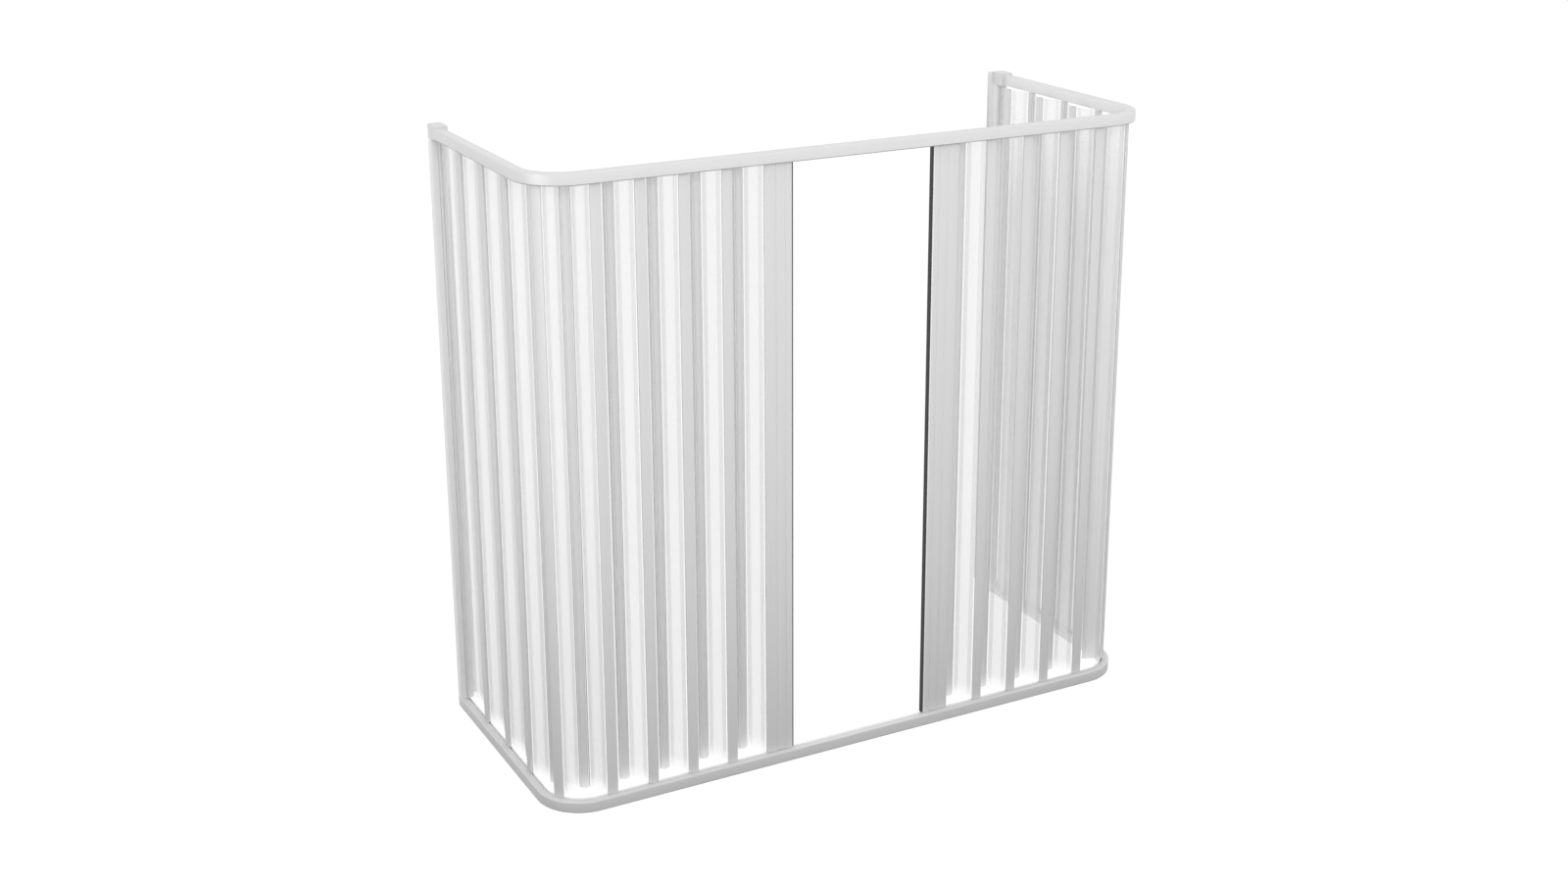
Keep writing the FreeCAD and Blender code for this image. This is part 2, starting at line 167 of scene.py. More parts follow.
# %% [markdown]
# ## From an outline to a bar
# In the factory a die presses soft plastic out in the shape of the section. Here the outline is filled
# together with its holes and the fill is extruded, which gives a closed hollow bar in two steps. A solid bar
# with the holes cut by booleans would look the same and take a cut for each hole. Shading is smooth only
# across small angles, so flats stay flat and arcs look round.

# %% From outline to bar
SHARP = math.radians(28)


def only(kind, made):
    """The elements of one kind among those that an operator made."""
    return [element for element in made if isinstance(element, kind)]


def finished(bm):
    """A closed mesh from the bmesh, shaded smooth across its soft edges only."""
    bmesh.ops.recalc_face_normals(bm, faces=bm.faces[:])
    open_edges = sum(not edge.is_manifold for edge in bm.edges)
    mesh = bpy.data.meshes.new("section")
    bm.to_mesh(mesh)
    bm.free()
    for face in mesh.polygons:
        face.use_smooth = True
    mesh.set_sharp_from_angle(angle=SHARP)
    print("section of", len(mesh.polygons), "faces, open edges:", open_edges)
    return mesh


def bar(pen, bottom, top):
    """What the pen drew, filled and pulled up between two heights, as a mesh."""
    bm = pen.bm
    bmesh.ops.triangle_fill(bm, use_beauty=True, edges=bm.edges, normal=UP)
    bmesh.ops.translate(bm, verts=bm.verts, vec=(0, 0, bottom))
    pulled = bmesh.ops.extrude_face_region(bm, geom=bm.faces[:])["geom"]
    bmesh.ops.translate(bm, verts=only(bmesh.types.BMVert, pulled), vec=(0, 0, top - bottom))
    return finished(bm)


# %% [markdown]
# ## Pieces that ride on a body
# Each piece of the screen belongs to a body, such as the frame or one sliding post, and moves with it. One
# mesh serves many pieces. An object could be put in place by its own matrix, but here every object sits at
# the origin, so the place goes into a copy of the mesh. A mirrored copy comes out inside out and is turned
# back.


# %% Pieces on bodies
def piece(name, mesh, places, body, replaced, materials):
    """An object made of copies of a mesh at the given places, riding on a body in place of its node."""
    bm = bmesh.new()
    for place in places:
        copy = mesh.copy()
        copy.transform(place)
        if place.determinant() < 0:
            copy.flip_normals()
        bm.from_mesh(copy)
        bpy.data.meshes.remove(copy)
    data = bpy.data.meshes.new(name)
    bm.to_mesh(data)
    bm.free()
    made = bpy.data.objects.new(name, data)
    bpy.context.scene.collection.objects.link(made)
    for material in materials:
        data.materials.append(material)
    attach(made, body)
    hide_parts(replaced)
    return made


# %% [markdown]
# ## Plastic finishes
# White plastic is never one flat white. It has faint streaks along the die, a soft sheen that varies a
# little, and fine lines that catch the light. A picture could carry all that, but one builder makes it from
# a noise on object coordinates, and the stretch of the noise says which way the extrusion ran. What is the
# same all over stays on the shader's own sockets.

# %% The finish builder
TONE_SPAN = (0.3, 0.7)  # the part of the noise between the dark and the light tone
RELIEF = 0.0002


def plastic(name, dark, light, stretch, roughness, bump, alpha=1.0, specular=0.5):
    """A plastic whose tone, sheen and surface follow a noise that is stretched along its extrusion."""
    material = bpy.data.materials.new(name)
    material.use_nodes = True
    tree = material.node_tree
    shader = tree.nodes["Principled BSDF"]
    place = tree.nodes.new("ShaderNodeTexCoord")
    mapping = tree.nodes.new("ShaderNodeMapping")
    mapping.inputs["Scale"].default_value = stretch
    streaks = tree.nodes.new("ShaderNodeTexNoise")
    streaks.inputs["Scale"].default_value = 1.0
    streaks.inputs["Detail"].default_value = 4.0
    streaks.inputs["Roughness"].default_value = 0.6
    tone = tree.nodes.new("ShaderNodeValToRGB")
    for stop, position, colour in zip(tone.color_ramp.elements, TONE_SPAN, (dark, light)):
        stop.position = position
        stop.color = (*colour, 1)
    sheen = tree.nodes.new("ShaderNodeMapRange")
    sheen.inputs["To Min"].default_value, sheen.inputs["To Max"].default_value = roughness
    relief = tree.nodes.new("ShaderNodeBump")
    relief.inputs["Strength"].default_value = bump
    relief.inputs["Distance"].default_value = RELIEF
    link = tree.links.new
    link(place.outputs["Object"], mapping.inputs["Vector"])
    link(mapping.outputs["Vector"], streaks.inputs["Vector"])
    link(streaks.outputs["Fac"], tone.inputs["Fac"])
    link(tone.outputs["Color"], shader.inputs["Base Color"])
    link(streaks.outputs["Fac"], sheen.inputs["Value"])
    link(sheen.outputs["Result"], shader.inputs["Roughness"])
    link(streaks.outputs["Fac"], relief.inputs["Height"])
    link(relief.outputs["Normal"], shader.inputs["Normal"])
    shader.inputs["Alpha"].default_value = alpha
    shader.inputs["Specular IOR Level"].default_value = specular
    return material


def grey(value):
    """A grey with the least touch of blue."""
    return (value, value, value * 1.003)


UPRIGHT = (420, 420, 1.5)  # streaks that run up a post or a slat
ALONG_RAIL = (3, 3, 520)  # streaks that run along a rail
EVEN = (900, 900, 900)  # the fine grain of a moulded part

# %% [markdown]
# ## The rail's section
# Each rail is one extrusion: a closed chamber outside and an open groove for the gliders inside. The outer
# edges are well rounded and the rest hardly. The pen draws the outline and the chamber once, standing at the
# origin, because the top rail is the same section turned over.

# %% The rail's section
RAIL_WIDTH = 0.023
RAIL_HEIGHT = rail_high.z
RAIL_ROUND = 0.0024
RAIL_WALL = 0.0017
GROOVE_WIDTH = 0.0046
GROOVE_DEPTH = 0.016
SMALL_ROUND = 0.0004
GROOVE_IN = GROOVE_OFFSET + GROOVE_WIDTH / 2
GROOVE_OUT = GROOVE_OFFSET - GROOVE_WIDTH / 2


def rail_section():
    """A bmesh with the rail's section as a wire, its outer lower corner at the origin."""
    groove_floor = RAIL_HEIGHT - GROOVE_DEPTH
    pen = Pen()
    pen.start(0, 0)
    pen.line((RAIL_WIDTH, 0), (RAIL_WIDTH, RAIL_HEIGHT))
    pen.line((GROOVE_IN, RAIL_HEIGHT), (GROOVE_IN, groove_floor))
    pen.line((GROOVE_OUT, groove_floor), (GROOVE_OUT, RAIL_HEIGHT), (0, RAIL_HEIGHT))
    pen.close()
    outer = pen.corners
    pen.soften([outer[0], outer[-1]], RAIL_ROUND, 5)
    pen.soften([outer[i] for i in (1, 2, 3, 6)], SMALL_ROUND, 2)
    chamber = GROOVE_OUT - 2 * RAIL_WALL
    pen.box((RAIL_WALL + chamber / 2, RAIL_HEIGHT / 2), chamber, RAIL_HEIGHT - 2 * RAIL_WALL)
    return pen.bm


print("groove from", round(GROOVE_OUT, 4), "to", round(GROOVE_IN, 4), "m inside the rail's outer face")

# %% [markdown]
# ## Four tones on one rail, three of them painted light and shade
# A rail does not look the same all round: its inner lip and its groove are paler, with light painted in where
# the white inside of the screen would light them, and the rounded edge on its under side is darker, with
# shade painted in. One material with a gradient could do that, but the tones change exactly at edges of the
# section.
# So the rail has four tones of the same plastic, given to its faces by how far they lie inwards and which way
# they tilt.

# %% Rail tones with painted light and shade
# the inner lip and the groove get painted light, the lower edge gets painted shade
INNER_LIP, GROOVE, LOWER_EDGE = 1, 2, 3
EDGE_TILT = (0.1, 0.97)  # how far a face of the rounded edge looks down

rail_outside = plastic("rail_outside", grey(0.68), grey(0.71), ALONG_RAIL, roughness=(0.35, 0.45), bump=0.12)
# paler tones painted as light on the lip and groove, a darker tone painted as shade on the lower edge
rail_inner_painted_light = plastic("rail_inner_painted_light", grey(0.78), grey(0.81), ALONG_RAIL, roughness=(0.35, 0.45), bump=0.12)
rail_groove_painted_light = plastic("rail_groove_painted_light", grey(0.94), grey(0.97), ALONG_RAIL, roughness=(0.4, 0.5), bump=0.05)
rail_edge_painted_shade = plastic("rail_edge_painted_shade", grey(0.35), grey(0.41), ALONG_RAIL, roughness=(0.5, 0.6), bump=0.1)
rail_tones_with_painted_light = [rail_outside, rail_inner_painted_light, rail_groove_painted_light, rail_edge_painted_shade]


def inset(point):
    """How far a point of the rail lies inwards from the rail's outer face."""
    across = max(abs(point.x) + BEND_X, 0)
    along = max(BEND_Y - point.y, 0)
    return BEND_RADIUS - math.hypot(across, along)


def paint_rail_light_and_shade(mesh, under):
    """Gives the faces their tones: painted light on the inner lip and the groove, painted shade on the lower
    edge. Before it is placed, the lower edge looks down (-1) or up (1).
    """
    for face in mesh.polygons:
        depth = inset(face.center)
        if depth > GROOVE_IN + SMALL_ROUND:
            face.material_index = INNER_LIP
        elif depth > GROOVE_OUT - RAIL_WALL / 2:
            face.material_index = GROOVE
        elif depth < RAIL_ROUND and EDGE_TILT[0] < face.normal.z * under < EDGE_TILT[1]:
            face.material_index = LOWER_EDGE


print(len(rail_tones_with_painted_light), "finishes for the rails")

# %% [markdown]
# ## The bent rails
# The real rail is extruded straight and then bent in two places. A curve with the section as its bevel could
# follow the bends, but its end caps would close the chamber. So the section's wire is swept: extruded along a
# side, spun round a bend, extruded along the front, and so on, and its two ends are filled last.

# %% Rails
BEND_STEPS = 18
BLOCK_LENGTH = 0.047  # the top rail stops short of the wall, for the end blocks
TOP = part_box("top_rail")[1].z


def swept(bm, edges, offset):
    """The last edges after the given ones are extruded by the offset."""
    made = bmesh.ops.extrude_edge_only(bm, edges=edges)["geom"]
    bmesh.ops.translate(bm, verts=only(bmesh.types.BMVert, made), vec=offset)
    return only(bmesh.types.BMEdge, made)


def bent(bm, edges, centre):
    """The last edges after the given ones are spun a quarter turn about an upright axis."""
    corners = list(dict.fromkeys(vert for edge in edges for vert in edge.verts))
    made = bmesh.ops.spin(
        bm, geom=corners + edges, cent=centre, axis=UP, angle=math.pi / 2, steps=BEND_STEPS,
    )
    return only(bmesh.types.BMEdge, made["geom_last"])


def rail_mesh(cut_back, under):
    """A bottom rail whose ends stop short of the wall by the cut-back."""
    bm = rail_section()
    upright = Matrix.Rotation(math.pi / 2, 4, "X")
    at_wall = Matrix.Translation((LEFT_FACE, WALL - cut_back, 0))
    bmesh.ops.transform(bm, matrix=at_wall @ upright, verts=bm.verts)
    first = bm.edges[:]
    side = side_run - cut_back
    last = swept(bm, first, (0, -side, 0))
    last = bent(bm, last, (BEND_X, BEND_Y, 0))
    last = swept(bm, last, (-2 * BEND_X, 0, 0))
    last = bent(bm, last, (-BEND_X, BEND_Y, 0))
    last = swept(bm, last, (0, side, 0))
    for end in (first, last):
        bmesh.ops.triangle_fill(bm, use_beauty=True, edges=end, normal=(0, 1, 0))
    mesh = finished(bm)
    paint_rail_light_and_shade(mesh, under)
    return mesh


HERE = Matrix.Identity(4)
OVERTURNED = Matrix.Translation((0, 0, TOP)) @ Matrix.Scale(-1, 4, UP)
bottom_track = rail_mesh(0, -1)
top_track = rail_mesh(BLOCK_LENGTH, 1)
piece("bottom_track", bottom_track, [HERE], "frame", "bottom_rail", rail_tones_with_painted_light)
piece("top_track", top_track, [OVERTURNED], "frame", "top_rail", rail_tones_with_painted_light)

# %% [markdown]
# ## Posts and back strips
# A post is a flat bar with a round socket along each edge, open towards the back. A cube with two grooves cut
# into it would need a boolean. The pen draws half of the section and mirrors it, so the two edges cannot
# differ. The back strip is the same bar turned round, with a crowned face that catches a soft stripe of
# light, so one function draws both.

# %% The bar with two sockets
POST_WIDTH = 0.025
POST_DEPTH = 0.008
POST_ROUND = 0.0011
SOCKET_RADIUS = 0.0023
SOCKET_WALL = 0.0012
SOCKET_LOW, SOCKET_HIGH = 3.1, 108.1  # degrees between which the socket is open
SOCKET_STEPS = 20
STRIP_CROWN = 0.003
CROWN_STEPS = 6
CHAMBER = (0.0104, 0.0054)
HINGE_OFFSET = POST_WIDTH / 2 - SOCKET_WALL - SOCKET_RADIUS
post_low, post_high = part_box("left_post_2")


def polar(centre, radius, degrees):
    """A point at a distance and an angle from a centre."""
    turn = math.radians(degrees)
    return centre[0] + radius * math.cos(turn), centre[1] + radius * math.sin(turn)


def draw_socket(pen):
    """From the lip on a bar's end, round the bore, to the lip on its back."""
    centre = (HINGE_OFFSET, 0)
    lip = (POST_WIDTH / 2 - HINGE_OFFSET) * math.tan(math.radians(SOCKET_LOW))
    back = POST_DEPTH / 2
    pen.line((POST_WIDTH / 2, lip), polar(centre, SOCKET_RADIUS, SOCKET_LOW))
    pen.arc(centre, SOCKET_HIGH - SOCKET_LOW - 360, SOCKET_STEPS)
    pen.line((HINGE_OFFSET + back / math.tan(math.radians(SOCKET_HIGH)), back))


def bar_mesh(crown):
    """A post with its face to the front, or a strip when its back has a crown."""
    front, back = -POST_DEPTH / 2, POST_DEPTH / 2
    pen = Pen()
    pen.start(0, front)
    pen.line((POST_WIDTH / 2, front))
    edge = pen.last
    draw_socket(pen)
    half_crown = pen.last.co.x
    if crown:
        radius = (half_crown**2 + crown**2) / (2 * crown)
        degrees = math.degrees(math.asin(half_crown / radius))
        pen.arc((0, back + crown - radius), degrees, CROWN_STEPS)
    else:
        pen.line((0, back))
    pen.soften([edge], POST_ROUND)
    pen.mirror("X")
    pen.box((0, 0), *CHAMBER)
    return bar(pen, post_low.z, post_high.z)


post_mesh = bar_mesh(0)
strip_mesh = bar_mesh(STRIP_CROWN)
strip_mesh.transform(Matrix.Rotation(math.pi, 4, "Z"))

# %% [markdown]
# ## Setting the posts up
# Five posts on each side stand still with the frame: three along the side, one in the bend and the first
# one of the front. They share a piece. The other three slide, so each of them is a piece on its own body. The
# right half could be placed anew, but the left half's places seen in a mirror cannot go wrong.

# %% Posts
SIDES = {"left": Matrix.Identity(4), "right": Matrix.Scale(-1, 4, (1, 0, 0))}

post_face = plastic("post_face", grey(0.66), grey(0.69), UPRIGHT, roughness=(0.38, 0.5), bump=0.15)
fixed, sliding = side_places[1:], front_places[1:-1]
for side, mirror in SIDES.items():
    spots = [mirror @ place for place in fixed]
    node = f"{side}_side_posts"
    piece(f"{side}_fixed_posts", post_mesh, spots, "frame", node, [post_face])
    for i, spot in enumerate(sliding, 2):
        node = f"{side}_post_{i}"
        piece(f"{side}_sliding_post_{i}", post_mesh, [mirror @ spot], node, node, [post_face])
print(len(fixed), "fixed and", len(sliding), "sliding posts on each side")

# %% [markdown]
# ## Finishes that change with height
# Near the ground the slats look clearer, because light comes in from below, and the strips behind them look
# paler. Both are painted light. A second piece at the foot would show a seam. A ramp on the height of a
# point, fed into the shader's alpha or tone, fades without one.

# %% Fades
slat_low, slat_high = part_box("left_panel_1")
FOOT_FADE = 0.035
HEAD_FADE = (0.32, 0.06)  # where the fade at the head starts and ends, below a slat's top
FOOT_SPAN = (slat_low.z, slat_low.z + FOOT_FADE)
HEAD_SPAN = (slat_high.z - HEAD_FADE[0], slat_high.z - HEAD_FADE[1])


def height_ramp(material, heights, values):
    """A value that runs from one to another between two heights and stays the same beyond them."""
    tree = material.node_tree
    place = tree.nodes.new("ShaderNodeTexCoord")
    split = tree.nodes.new("ShaderNodeSeparateXYZ")
    ramp = tree.nodes.new("ShaderNodeMapRange")
    ramp.inputs["From Min"].default_value, ramp.inputs["From Max"].default_value = heights
    ramp.inputs["To Min"].default_value, ramp.inputs["To Max"].default_value = values
    tree.links.new(place.outputs["Object"], split.inputs["Vector"])
    tree.links.new(split.outputs["Z"], ramp.inputs["Value"])
    return ramp.outputs["Result"]


def clear_foot(material, foot):
    """Makes a slat's finish clearer towards its foot, as painted light from below."""
    alpha = material.node_tree.nodes["Principled BSDF"].inputs["Alpha"]
    ramp = height_ramp(material, FOOT_SPAN, (foot, alpha.default_value))
    material.node_tree.links.new(ramp, alpha)


def clear_head(material, head):
    """Makes a slat's finish clearer towards its head."""
    alpha = material.node_tree.nodes["Principled BSDF"].inputs["Alpha"]
    ramp = height_ramp(material, HEAD_SPAN, (alpha.default_value, head))
    material.node_tree.links.new(ramp, alpha)


def paint_foot_light(material, gain):
    """Paints light from below onto an opaque finish, which grows paler towards its foot."""
    tree = material.node_tree
    colour = tree.nodes["Principled BSDF"].inputs["Base Color"]
    tone = colour.links[0].from_socket
    lift = tree.nodes.new("ShaderNodeHueSaturation")
    tree.links.new(tone, lift.inputs["Color"])
    tree.links.new(height_ramp(material, FOOT_SPAN, (gain, 1.0)), lift.inputs["Value"])
    tree.links.new(lift.outputs["Color"], colour)


print("feet fade up to", round(FOOT_SPAN[1], 3), "and heads from", round(HEAD_SPAN[0], 3))

# %% [markdown]
# ## Milky sheet
# A slat is hazy clear sheet with a thicker border, a thin clear neck and a white bead. It could be glass
# with real refraction, but then every slat would throw a hard shadow. A see-through plastic lets light and
# sight pass alike. It cannot blur, though, so the slats of the side walls, which are seen at a slant or
# through other slats, are milkier than those of the front, and on the right they clear towards the head.

# %% Slat finishes
# the foot alpha of the slats and the gain of the strips paint the light that comes in from below
FOOT_ALPHA = 0.02
HEAD_ALPHA = {"web": 0.25, "border": 0.32}
STRIP_FOOT_LIGHT_GAIN = 1.2


def sheet(name, dark, light, alpha):
    """A see-through sheet between two greys."""
    return plastic(name, grey(dark), grey(light), UPRIGHT, roughness=(0.25, 0.3), bump=0.0, alpha=alpha)


slat_web = sheet("slat_web", 0.74, 0.78, 0.17)
slat_border = sheet("slat_border", 0.58, 0.62, 0.27)
left_web = sheet("left_web", 0.90, 0.94, 0.34)
left_border = sheet("left_border", 0.74, 0.78, 0.44)
right_web = sheet("right_web", 0.86, 0.90, 0.64)
right_border = sheet("right_border", 0.78, 0.82, 0.68)
slat_neck = sheet("slat_neck", 0.90, 0.95, 0.07)
slat_bead = plastic("slat_bead", grey(0.92), grey(0.96), UPRIGHT, roughness=(0.3, 0.4), bump=0.0)
strip_face = plastic("strip_face", grey(0.68), grey(0.73), UPRIGHT, roughness=(0.3, 0.45), bump=0.1)
# painted light from below: clearer slat feet and paler strip feet
for clear in (slat_web, slat_border, left_web, left_border):
    clear_foot(clear, FOOT_ALPHA)
clear_head(right_web, HEAD_ALPHA["web"])
clear_head(right_border, HEAD_ALPHA["border"])
paint_foot_light(strip_face, STRIP_FOOT_LIGHT_GAIN)
front_finishes = [slat_web, slat_border, slat_neck, slat_bead]
side_finishes = {
    "left": [left_web, left_border, slat_neck, slat_bead],
    "right": [right_web, right_border, slat_neck, slat_bead],
}
print(len(bpy.data.materials), "materials so far, with those of the frame")

# %% [markdown]
# ## The slat
# From one edge to the other a slat has a round bead that turns in a socket, a neck, a border, the web, and
# the same again. A quarter of that outline is drawn and mirrored twice. Each face then gets its finish by
# how far it lies from the slat's middle: web, border, neck or bead.

# %% The slat
SLAT_REACH = 0.0594  # from hinge to hinge
BEAD_RADIUS = 0.002
BEAD_STEPS = 12
NECK = 0.0007
NECK_REACH = 0.0066
BORDER = 0.003
BORDER_WIDTH = 0.0096
BORDER_SLOPE = 0.001
WEB = 0.0016


def slat_mesh():
    """A slat from its first hinge at the origin to its second along x."""
    middle = SLAT_REACH / 2
    neck_angle = math.degrees(math.asin(NECK / 2 / BEAD_RADIUS))
    shoulder = NECK_REACH + BORDER_SLOPE - middle
    border_end = shoulder + BORDER_WIDTH
    pen = Pen()
    pen.start(-middle - BEAD_RADIUS, 0)
    pen.arc((-middle, 0), neck_angle - 180, BEAD_STEPS)
    pen.line((NECK_REACH - middle, NECK / 2), (shoulder, BORDER / 2))
    pen.line((border_end, BORDER / 2), (border_end + BORDER_SLOPE, WEB / 2), (0, WEB / 2))
    pen.soften(pen.corners[1:5], SMALL_ROUND)
    pen.mirror("X")
    pen.mirror("Y")
    mesh = bar(pen, slat_low.z, slat_high.z)
    limits = (-border_end, -shoulder + BORDER_SLOPE, middle - BEAD_RADIUS)
    for face in mesh.polygons:
        face.material_index = sum(abs(face.center.x) > limit for limit in limits)
    mesh.transform(Matrix.Translation((middle, 0, 0)))
    return mesh


slat = slat_mesh()

# %% [markdown]
# ## Folding slats and strips between the posts
# Between two posts stand two slats in a V, with a back strip at the point of it. The slats have a fixed
# reach, so the distance between the posts gives the angle of the fold: a cosine instead of a measured
# angle. The side sections stand still with the frame, and each slat and strip of the front is a piece of its
# own.


# %% Slats and strips
def fold(start, end):
    """Places of the first slat, the back strip and the second slat between two posts."""
    hinge_a = start @ Vector((HINGE_OFFSET, 0, 0))
    hinge_b = end @ Vector((-HINGE_OFFSET, 0, 0))
    chord = hinge_b - hinge_a
    heading = math.atan2(chord.y, chord.x)
    angle = math.acos((chord.length / 2 - HINGE_OFFSET) / SLAT_REACH)
    facing = Matrix.Rotation(heading, 4, "Z")
    strip = Matrix.Translation((hinge_a + hinge_b) / 2) @ facing
    strip = strip @ Matrix.Translation((0, SLAT_REACH * math.sin(angle), 0))
    first = Matrix.Translation(hinge_a) @ facing @ Matrix.Rotation(angle, 4, "Z")
    second = strip @ Matrix.Translation((HINGE_OFFSET, 0, 0)) @ Matrix.Rotation(-angle, 4, "Z")
    return first, strip, second


side_folds = [fold(a, b) for a, b in zip(side_places, side_places[1:])]
front_folds = [fold(a, b) for a, b in zip(front_places, front_places[1:])]
for side, mirror in SIDES.items():
    slats = [mirror @ place for first, strip, second in side_folds for place in (first, second)]
    node = f"{side}_side_panels"
    piece(f"{side}_fixed_slats", slat, slats, "frame", node, side_finishes[side])
    strips = [mirror @ strip for first, strip, second in side_folds]
    node = f"{side}_side_back_strips"
    piece(f"{side}_fixed_strips", strip_mesh, strips, "frame", node, [strip_face])
    for i, (first, strip, second) in enumerate(front_folds, 1):
        for number, spot in ((2 * i - 1, first), (2 * i, second)):
            node = f"{side}_panel_{number}"
            piece(f"{side}_slat_{number}", slat, [mirror @ spot], node, node, front_finishes)
        node = f"{side}_back_strip_{i}"
        piece(f"{side}_strip_{i}", strip_mesh, [mirror @ strip], node, node, [strip_face])
print(2 * len(side_folds + front_folds), "slats on each side")

# %% [markdown]
# ## Closing stiles
# The two stiles that meet in the middle are wide hollow bars with two fine grooves in the face. A narrow lip
# beside the seal is painted paler, a painted highlight on the closing edge. One edge has a post's socket and
# the other a slot for the seal's tongue, so the whole outline is drawn. It is drawn with the socket on the
# right, because that is how the socket function goes, and then mirrored.

# %% The stile
STILE_WIDTH = 0.069
STILE_DEPTH = 0.014
STILE_STEP = 0.0135
STILE_WALL = 0.0014
STILE_GROOVES = (0.029, 0.0525)
GROOVE_HALF = 0.0009
STILE_PLUGS = (0.0225, 0.0585)  # the chambers that take the gliders
TONGUE = (0.0036, 0.003)
FIT = 0.0002
# the width of the strip that carries the painted highlight
LIP_WIDTH = 0.0026


def stile_mesh():
    """A stile with its socket at the left, where a post's left socket would be."""
    left, front = -POST_WIDTH / 2, -POST_DEPTH / 2
    right, back, middle = left + STILE_WIDTH, front + STILE_DEPTH, front + STILE_DEPTH / 2
    slot, slot_end = TONGUE[1] / 2 + FIT, right - TONGUE[0] - FIT
    pen = Pen()
    pen.start(-left, front)
    draw_socket(pen)
    pen.line((-left - STILE_STEP, POST_DEPTH / 2), (-left - STILE_STEP, back), (-right, back))
    soft = pen.corners[-2:] + [pen.first]
    pen.line((-right, middle + slot), (-slot_end, middle + slot))
    pen.line((-slot_end, middle - slot), (-right, middle - slot), (-right, front))
    soft.append(pen.last)
    pen.line((LIP_WIDTH - right, front))
    for groove in reversed(STILE_GROOVES):
        x = -left - groove
        pen.line((x - GROOVE_HALF, front), (x, front + GROOVE_HALF), (x + GROOVE_HALF, front))
    pen.close()
    pen.soften(soft, POST_ROUND)
    for plug in STILE_PLUGS:
        pen.box((-left - plug, 0), *CHAMBER)
    low, high = CHAMBER[1] / 2 + STILE_WALL, back - STILE_WALL
    start, end = -left - STILE_PLUGS[0] + CHAMBER[0] / 2, -slot_end + STILE_WALL
    pen.box(((start + end) / 2, (low + high) / 2), start - end, high - low)
    mesh = bar(pen, post_low.z, post_high.z)
    mesh.transform(Matrix.Scale(-1, 4, (1, 0, 0)))
    mesh.flip_normals()
    for face in mesh.polygons:
        # the lip's faces get the paler tone of the painted highlight
        in_lip = face.center.x > right - LIP_WIDTH and face.center.y < front + POST_ROUND
        face.material_index = 1 if in_lip else 0
    return mesh


stile = stile_mesh()

# %% [markdown]
# ## Magnetic seals
# The closing edge of a stile holds a soft black seal with a magnet bar inside. A tongue keeps it in the
# stile's slot, and a shallow notch runs down its face. Half of the outline is drawn and mirrored about the
# middle of the stile's depth, and the hole for the magnet is a second outline in the same fill.

# %% Stiles and seals
SEAL_WIDTH = 0.011
SEAL_PROUD = 0.004
SEAL_EDGE = 0.0008
SEAL_NOTCH = 0.0012
MAGNET = (0.0016, 0.006)


def seal_mesh():
    """A seal on the closing edge of the stile."""
    edge, middle = STILE_WIDTH - POST_WIDTH / 2, (STILE_DEPTH - POST_DEPTH) / 2
    half, tongue, face = SEAL_WIDTH / 2, TONGUE[1] / 2, edge + SEAL_PROUD
    pen = Pen()
    pen.start(edge - TONGUE[0], 0)
    pen.line((edge - TONGUE[0], tongue), (edge, tongue), (edge, half))
    pen.line((face, half), (face, SEAL_NOTCH), (face - SEAL_EDGE, 0))
    pen.soften([pen.corners[i] for i in (3, 4)], SEAL_EDGE)
    pen.mirror("Y")
    bmesh.ops.translate(pen.bm, verts=pen.bm.verts, vec=(0, middle, 0))
    pen.box((edge + (SEAL_PROUD - SEAL_EDGE) / 2, middle), *MAGNET)
    return bar(pen, post_low.z, post_high.z)


# a paler tone painted as a highlight on the stile's closing edge
stile_lip_painted_highlight = plastic("stile_lip_painted_highlight", grey(0.84), grey(0.88), UPRIGHT, roughness=(0.3, 0.4), bump=0.1)
seal_soft = plastic(
    "seal_soft", (0.012, 0.012, 0.013), (0.03, 0.03, 0.032), EVEN, roughness=(0.5, 0.65), bump=0.3,
)
seal = seal_mesh()
for side, mirror in SIDES.items():
    spot, body = mirror @ front_places[-1], f"{side}_closing_stile"
    piece(f"{side}_stile", stile, [spot], body, body, [post_face, stile_lip_painted_highlight])
    piece(f"{side}_seal", seal, [spot], body, f"{side}_magnetic_seal", [seal_soft])

# %% [markdown]
# ## Jambs, blocks and gliders
# These parts have the right shape already, so they keep it and are not drawn again. A machine edge would
# look hard, though, so a weld and a small bevel soften the edges, and each part gets its own finish. The
# gliders are white nylon, and their tone is painted paler still, as light against the shade deep in the
# groove.

# %% Kept parts
WELD_GAP = 1e-5
EDGE_ANGLE = math.radians(35)

jamb_face = plastic("jamb_face", grey(0.79), grey(0.82), UPRIGHT, roughness=(0.38, 0.5), bump=0.15)
block_grain = plastic("block_grain", grey(0.68), grey(0.70), EVEN, roughness=(0.42, 0.5), bump=0.2)
# white nylon with light painted in against the shade of the groove
glider_grain_painted_light = plastic(
    "glider_grain_painted_light", (0.92, 0.92, 0.90), (0.96, 0.96, 0.94), EVEN, roughness=(0.5, 0.6), bump=0.1,
)
magnet_grain = plastic(
    "magnet_grain", (0.03, 0.03, 0.03), (0.07, 0.07, 0.07), EVEN, roughness=(0.5, 0.7), bump=0.4,
)
KEPT = {  # the end of a part's name, its finish and the width of its soft edges
    "wall_jamb": (jamb_face, 0.0005),
    "jamb_hinge": (post_face, 0.0002),
    "end_block": (block_grain, 0.0006),
    "gliders": (glider_grain_painted_light, 0.0003),
    "magnet_bar": (magnet_grain, 0.0002),
}


